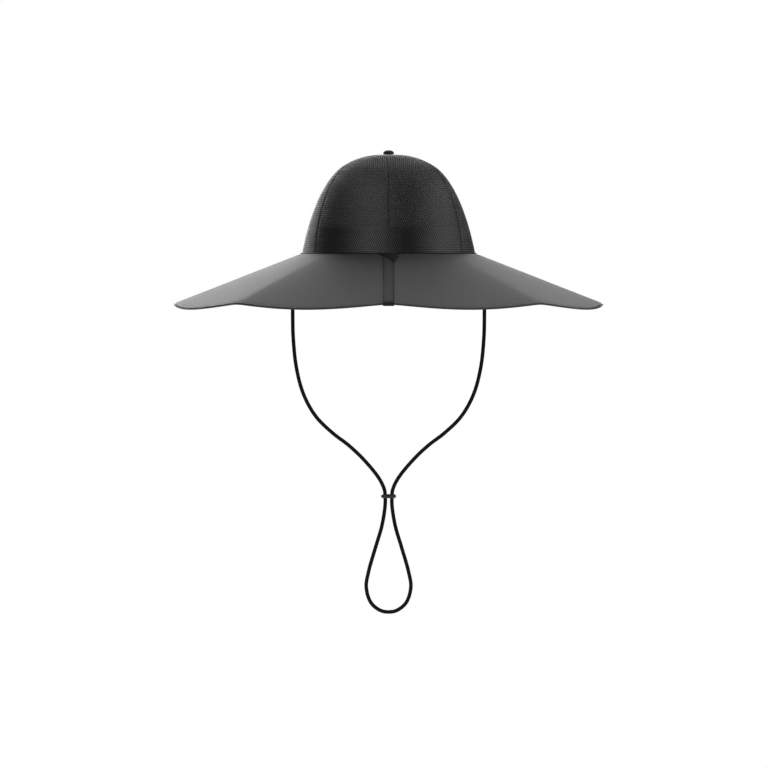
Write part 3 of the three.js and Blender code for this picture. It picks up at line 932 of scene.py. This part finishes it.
outline = np.vstack([
    cubic(CROWN_SIDE, np.linspace(0, 1, OUTLINE_STEPS)),
    cubic(CROWN_DOME, np.linspace(0, 1, OUTLINE_STEPS)[1:]),
])
outline_up = np.concatenate([[0], np.cumsum(np.linalg.norm(np.diff(outline, axis=0), axis=1))])
outline_along = np.gradient(outline, outline_up, axis=0)
outline_top = outline_up[-1]


def crown_place(up, t, inset, sink=0):
    """A place on the crown's wall, in metres: up is the distance along the outline from its foot,
    and the inset goes square into the wall. The wall is an oval, longer from front to back."""
    up, t, inset = np.broadcast_arrays(up, t, inset)
    reach, height = (np.interp(up, outline_up, outline[:, k]) for k in range(2))
    along_reach, along_height = (np.interp(up, outline_up, outline_along[:, k]) for k in range(2))
    wide = reach - along_height * inset
    lengthways = reach * CROWN_LENGTHWAYS - along_height * inset
    tall = CROWN_FOOT + height + along_reach * inset - sink
    return np.stack([wide * np.sin(t), -lengthways * np.cos(t), tall], axis=-1) * MM


band_share = (1 - np.cos(np.linspace(0, np.pi, BAND_ROWS))) / 2
band_height = -BRIM_THICK + band_share * (BAND_TOP + BRIM_THICK)
band_up = np.interp(band_height - CROWN_FOOT, outline[:, 1], outline_up)
band_sink = np.maximum(0, CROWN_FOOT - band_height)
band_full = np.sqrt(np.clip(1 - np.abs(2 * band_share - 1) ** BAND_ROUNDNESS, 0, 1))
pinches = sum(
    np.exp(-(((band_height - row) / BAND_PINCH_REACH) ** 2))
    for row in (BAND_TOP - BAND_STITCH_MARGIN, -BRIM_THICK + BAND_STITCH_MARGIN)
)
band_half = (BAND_THICK - BAND_PINCH * pinches) / 2 * band_full
band_turn = np.linspace(0, 2 * np.pi, BAND_COLUMNS, endpoint=False)[None, :]
band_middle = BAND_INSET + BAND_THICK / 2
band_faces = [
    crown_place(
        band_up[rows, None],
        band_turn,
        (band_middle + side * band_half)[rows, None],
        band_sink[rows, None],
    )
    for side, rows in ((-1, slice(None)), (1, slice(-2, 0, -1)))
]
band_length = 2 * np.pi * (HEAD_WIDTH + HEAD_LENGTH) / 4
band = grid_piece(
    "sweatband_cloth",
    np.concatenate(band_faces),
    close_rows=True,
    close_columns=True,
    cloth_size=(band_length, 2 * (BAND_TOP + BRIM_THICK)),
)
close_shell(band)
# Brushed cotton: black and quite matt, with its threads 0.8 mm apart under the nap
band_finish = woven_finish(
    "brushed_cotton_sweatband",
    "#0d0d0d",
    "#1c1c1c",
    BAND_THREAD,
    on_uv=True,
    rough=0.95,
    depth=0.08,
)
band.data.materials.append(band_finish)
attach(band, "root")
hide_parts("sweatband")


# The crown is six gores of coarse polyester mesh: a knit whose yarns are drawn together between
# small six-sided holes, closer at the back. Each gore is cut with its rows level and turned in where
# it is sewn to the next.
GORES = [
    {"name": "front_right", "start": 0, "start_lean": 0, "end": 58, "end_lean": 13},
    {"name": "side_right", "start": 58, "start_lean": 13, "end": 122, "end_lean": -13},
    {"name": "rear_right", "start": 122, "start_lean": -13, "end": 180, "end_lean": 0},
    {"name": "rear_left", "start": 180, "start_lean": 0, "end": 238, "end_lean": 13},
    {"name": "side_left", "start": 238, "start_lean": 13, "end": 302, "end_lean": -13},
    {"name": "front_left", "start": 302, "start_lean": -13, "end": 360, "end_lean": 0},
]
NET_PITCH = 2.4
NET_THICK = 0.9
OPEN_HOLE_SHARE = 0.52
CLOSE_HOLE_SHARE = 0.4
SIDE_HOLE_SHARE = 0.36
REAR_HOLE_SHARE = 0.02
# The rear holes' edges are painted less dark than the painted shade at the other holes' edges
REAR_HOLE_EDGE_LIGHT = 0.3
STRAND_ROUND = 0.3
REAR_STRAND_ROUND = 0.6
OPEN_KNIT_X = 19
KNIT_WAVE = 74
KNIT_EVENS_OUT = (66, 84)
DOME_CLOSENESS = 0.2
# Strength of the strands' painted highlight where the knit is open and where it is close, and the extra
# at the band's height
OPEN_KNIT_PAINTED_LIGHT = 0.3
CLOSE_KNIT_PAINTED_LIGHT = 0.8
BAND_PAINTED_LIGHT = 0.3
SEAM_ROLL = 1.2
SIDE_SEAM_DIP = 0.4
MIDDLE_SEAM_DIP = 0.04
MIDDLE_SEAM_OPEN = 0.15
SIDE_SEAM_OPEN = 2.2
POLE_REACH = 4.2
RING_POINTS = 25
LEAST_CELL = 0.2
CORNER_MATCH = 0.001
MESH_FLECKS = 1.5
MESH_FLECK_DEPTH = 0.05
HEXAGON = np.radians(30 + 60 * np.arange(6))

pole_up = np.interp(-POLE_REACH, -outline[:, 0], outline_up)


def seam_turn(start, lean, up):
    """A seam's angle round the crown, which leans in proportion to the height."""
    height = np.interp(up, outline_up, outline[:, 1])
    return np.radians(start + lean * height / CROWN_HEIGHT)


def gore_shape(gore):
    """The middle angle, half angle and half width of a gore at each point of the outline. The width
    is the length of the ring between its seams, added up from short chords."""
    opening = [
        SIDE_SEAM_OPEN if gore[lean] else MIDDLE_SEAM_OPEN for lean in ("start_lean", "end_lean")
    ]
    reach = np.maximum(outline[:, 0], POLE_REACH)
    start = seam_turn(gore["start"], gore["start_lean"], outline_up) + opening[0] / 2 / reach
    end = seam_turn(gore["end"], gore["end_lean"], outline_up) - opening[1] / 2 / reach
    middle, half = (start + end) / 2, (end - start) / 2
    turns = middle[:, None] + half[:, None] * np.linspace(-1, 1, RING_POINTS)
    ring = crown_place(outline_up[:, None], turns, 0)
    width = np.linalg.norm(np.diff(ring, axis=1), axis=2).sum(axis=1) / MM
    return middle, half, width / 2


def knit_closeness_and_highlight(places):
    """How closely the knit lies, from 0 to 1. Across the front it follows a cosine, since the mesh is
    pulled more open in some places than in others, and it evens out towards the dome. The same value
    sets the strands' painted highlight, so that upright bands across the front are painted lighter."""
    wave = 0.5 - 0.5 * np.cos(2 * np.pi * (places[..., 0] / MM - OPEN_KNIT_X) / KNIT_WAVE)
    low, high = KNIT_EVENS_OUT
    even = np.clip((places[..., 2] / MM - low) / (high - low), 0, 1)
    return wave * (1 - even) + DOME_CLOSENESS * even


def net_piece(name, gore):
    """A net of six-sided cells in level rows, one and a half sides apart, each row moved half a cell
    from the last. Corners past the gore's edge are moved onto it, and each hole is its cell drawn
    in towards its middle. A strand is highest along the line between two cells, and thins to an
    edge round each hole. Gives the piece, the width and height of the cut gore, and its area."""
    middle, half, half_width = gore_shape(gore)
    side = NET_PITCH / np.sqrt(3)
    rows = np.arange(int(pole_up / (1.5 * side)) + 2)
    columns = np.arange(-int(half_width.max() / NET_PITCH) - 2, int(half_width.max() / NET_PITCH) + 3)
    row, column = (grid.ravel() for grid in np.meshgrid(rows, columns, indexing="ij"))
    across = ((column + row % 2 / 2) * NET_PITCH)[:, None] + side * np.cos(HEXAGON)
    up = np.clip((row * 1.5 * side)[:, None] + side * np.sin(HEXAGON), 0, pole_up)
    edge = np.interp(up, outline_up, half_width)
    across = np.clip(across, -edge, edge)
    area = 0.5 * (across * np.roll(up, -1, axis=1) - up * np.roll(across, -1, axis=1)).sum(axis=1)
    kept = area > LEAST_CELL * 1.5 * np.sqrt(3) * side**2
    cell = np.stack([across[kept], up[kept]], axis=-1)

    def on_crown(flat, level):
        edge = np.interp(flat[..., 1], outline_up, half_width)
        half_here = np.interp(flat[..., 1], outline_up, half)
        turn = np.interp(flat[..., 1], outline_up, middle) + half_here * flat[..., 0] / edge
        near_seam = np.clip(1 - (edge - np.abs(flat[..., 0])) / SEAM_ROLL, 0, 1)
        on_middle = np.where(flat[..., 0] < 0, gore["start_lean"] == 0, gore["end_lean"] == 0)
        dip = np.where(on_middle, MIDDLE_SEAM_DIP, SIDE_SEAM_DIP)
        return crown_place(flat[..., 1], turn, level + dip * near_seam**2)

    cell_middle = cell.mean(axis=1, keepdims=True)
    is_rear = gore["name"].startswith("rear")
    hole_share = REAR_HOLE_SHARE if is_rear else SIDE_HOLE_SHARE
    if gore["name"].startswith("front"):
        closeness_and_highlight = knit_closeness_and_highlight(on_crown(cell_middle, 0))[..., None]
        hole_share = OPEN_HOLE_SHARE + (CLOSE_HOLE_SHARE - OPEN_HOLE_SHARE) * closeness_and_highlight
    hole = cell_middle * (1 - hole_share) + cell * hole_share

    keys = np.round(cell.reshape(-1, 2) / CORNER_MATCH).astype(np.int64)
    first, corner = np.unique(keys, axis=0, return_index=True, return_inverse=True)[1:]
    corner = corner.reshape(-1, 6)
    corners = cell.reshape(-1, 2)[first]
    count = len(corners)
    flat = np.concatenate([corners, corners, hole.reshape(-1, 2)])
    hollow = np.full(hole.size // 2, REAR_STRAND_ROUND if is_rear else STRAND_ROUND)
    level = np.concatenate([np.zeros(count), np.full(count, NET_THICK), hollow])

    next_corner = np.roll(corner, -1, axis=1)
    rim = 2 * count + np.arange(hole.size // 2).reshape(-1, 6)
    next_rim = np.roll(rim, -1, axis=1)
    outer = np.stack([corner, next_corner, next_rim, rim], axis=-1).reshape(-1, 4)
    inner = np.stack([rim, next_rim, next_corner + count, corner + count], axis=-1).reshape(-1, 4)
    edges = np.stack([corner, next_corner], axis=-1).reshape(-1, 2)
    back, uses = np.unique(np.sort(edges, axis=1), axis=0, return_inverse=True, return_counts=True)[1:]
    one, other = edges[uses[back.ravel()] == 1].T
    border = np.stack([other, one, one + count, other + count], axis=-1)
    faces = np.concatenate([outer, inner, border])

    places = on_crown(flat, level)
    piece = shown_mesh(name, places, faces)
    # Painted light on the strands: a painted highlight along their tops, stronger in upright bands
    # across the front and at the band's height, and painted shade at the hole edges, lighter at the rear
    closeness_and_highlight = knit_closeness_and_highlight(places[:2 * count])
    on_band = places[:2 * count, 2] < BAND_TOP * MM
    close_painted_light = CLOSE_KNIT_PAINTED_LIGHT + BAND_PAINTED_LIGHT * on_band
    crest = OPEN_KNIT_PAINTED_LIGHT + (close_painted_light - OPEN_KNIT_PAINTED_LIGHT) * closeness_and_highlight
    raised = piece.data.attributes.new("painted_strand_light", "FLOAT", "POINT")
    hole_edge_shade = np.full(hole.size // 2, REAR_HOLE_EDGE_LIGHT * is_rear)
    raised.data.foreach_set("value", np.concatenate([crest, hole_edge_shade]))
    cut_width = 2 * half_width.max()
    cut_area = (np.diff(outline_up) * (half_width[1:] + half_width[:-1])).sum()
    return piece, (cut_width * MM, outline_top * MM), cut_area * MM * MM


# Textured polyester yarn, knitted and heat-set, with a soft sheen. Its tone is painted light: the
# holes' edges are painted black as shade, and the tops of the strands grey as a painted highlight
net_finish = flecked_finish(
    "open_polyester_mesh",
    {"Roughness": 0.55, "Sheen Weight": 0.35, "Sheen Roughness": 0.35},
    MESH_FLECKS,
    detail=3,
    tones=((0.2, "#101111"), (1, "#b2b3b4")),
    relief=(MESH_FLECK_DEPTH, 0.4),
    crest="painted_strand_light",
)

for gore in GORES:
    net, cut, cut_area = net_piece(f"crown_mesh_{gore['name']}", gore)
    net.data.materials.append(net_finish)
    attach(net, "root")
    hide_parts(f"crown_panel_{gore['name']}")


# Behind each seam the cut edges are covered by a narrow tape, and a cord of the same cloth closes
# the joint between the crown's foot and the brim.
SIDE_TAPE_WIDTH = 5
MIDDLE_TAPE_WIDTH = 1
SEAM_TAPE_THICK = 0.4
SEAM_FOOT = 0.4
SEAM_ROWS = 90
SEAM_PROFILE_POINTS = 14
SEAM_WIDENESS = 0.3
SEAM_THREAD = 0.6
PIPING_RADIUS = 0.6
PIPING_REACH = 87.35
PIPING_SIDES = 8

seam_up = np.linspace(SEAM_FOOT, pole_up, SEAM_ROWS)[:, None]
turn = np.arange(SEAM_PROFILE_POINTS) / SEAM_PROFILE_POINTS * 2 * np.pi
# Across, a low power of the cosine keeps the tape flat and wide right up to its edges
tape_across = np.sign(np.cos(turn)) * np.abs(np.cos(turn)) ** SEAM_WIDENESS / 2
tape_through = np.sin(turn) * SEAM_TAPE_THICK / 2
# Thin woven seam tape: black and matt
seam_finish = woven_finish("woven_seam_tape", "#0d0d0d", "#181919", SEAM_THREAD, depth=0.1)
for gore in GORES:
    seam_t = seam_turn(gore["start"], gore["start_lean"], seam_up)
    reach = np.interp(seam_up, outline_up, outline[:, 0])
    seam_inset = NET_THICK + SIDE_SEAM_DIP / 2 + SEAM_TAPE_THICK / 2 + tape_through[None, :]
    tape_width = SIDE_TAPE_WIDTH if gore["start_lean"] else MIDDLE_TAPE_WIDTH
    places = crown_place(seam_up, seam_t + tape_width * tape_across[None, :] / reach, seam_inset)
    seam = grid_piece(f"seam_tape_{gore['name']}", places, close_columns=True)
    close_shell(seam)
    seam.data.materials.append(seam_finish)
    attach(seam, "root")

around = np.linspace(0, 2 * np.pi, PIPING_SIDES, endpoint=False)[:, None]
piping_places = brim_place(PIPING_REACH + PIPING_RADIUS * np.cos(around), columns_turn, 0)
piping_places[..., 2] = (PIPING_RADIUS + PIPING_RADIUS * np.sin(around)) * MM
piping = grid_piece("crown_foot_piping", piping_places, close_rows=True, close_columns=True)
close_shell(piping)
piping.data.materials.append(seam_finish)
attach(piping, "root")


# The button is a small dome covered with smooth woven cloth. Its shank goes down through the hole
# where the six gores meet.
BUTTON_RADIUS = 5.5
BUTTON_LIFT = 0.05
BUTTON_FOOT = CROWN_FOOT + CROWN_HEIGHT + BUTTON_LIFT
BUTTON_HEIGHT = 4.3
BUTTON_EDGE = 1.2
SHANK_RADIUS = 1.8
SHANK_DEPTH = 3.2
SHANK_EDGE = 0.9
POLE_RADII = (0.3, 0.1)
BUTTON_COLUMNS = 64
BUTTON_LOWER_ROWS = 8
BUTTON_DOME_ROWS = 16
BUTTON_THREAD = 0.35

lower_turn = np.linspace(-np.pi / 2, 0, BUTTON_LOWER_ROWS)[:-1]
lower_edge = np.stack([
    BUTTON_RADIUS - BUTTON_EDGE * (1 - np.cos(lower_turn)), BUTTON_EDGE * (1 + np.sin(lower_turn))
], axis=-1)
dome_turn = np.linspace(0, np.pi / 2, BUTTON_DOME_ROWS)
dome = np.stack([
    BUTTON_RADIUS * np.cos(dome_turn), BUTTON_EDGE + (BUTTON_HEIGHT - BUTTON_EDGE) * np.sin(dome_turn)
], axis=-1)
shank = [
    (POLE_RADII[0], -SHANK_DEPTH),
    (SHANK_RADIUS * SHANK_EDGE, -SHANK_DEPTH),
    (SHANK_RADIUS, -SHANK_DEPTH * SHANK_EDGE),
    (SHANK_RADIUS, 0),
]
profile = np.vstack([shank, lower_edge, dome[:-1], [(POLE_RADII[1], BUTTON_HEIGHT)]])
button_turn = np.linspace(0, 2 * np.pi, BUTTON_COLUMNS, endpoint=False)[None, :]
reach, height = profile[:, :1], profile[:, 1:]
turned = (reach * np.sin(button_turn), -reach * np.cos(button_turn), BUTTON_FOOT + height)
button_places = np.stack(np.broadcast_arrays(*turned), axis=-1) * MM
button = grid_piece("covered_button", button_places, close_columns=True)
close_shell(button)
# Smooth woven cover, drawn tight over the dome: dark grey, with fine threads 0.35 mm apart
button_finish = woven_finish(
    "smooth_woven_button_cover", "#2c2c2c", "#3f3f40", BUTTON_THREAD, rough=0.6, depth=0.06
)
button.data.materials.append(button_finish)
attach(button, "root")
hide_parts("top_button")
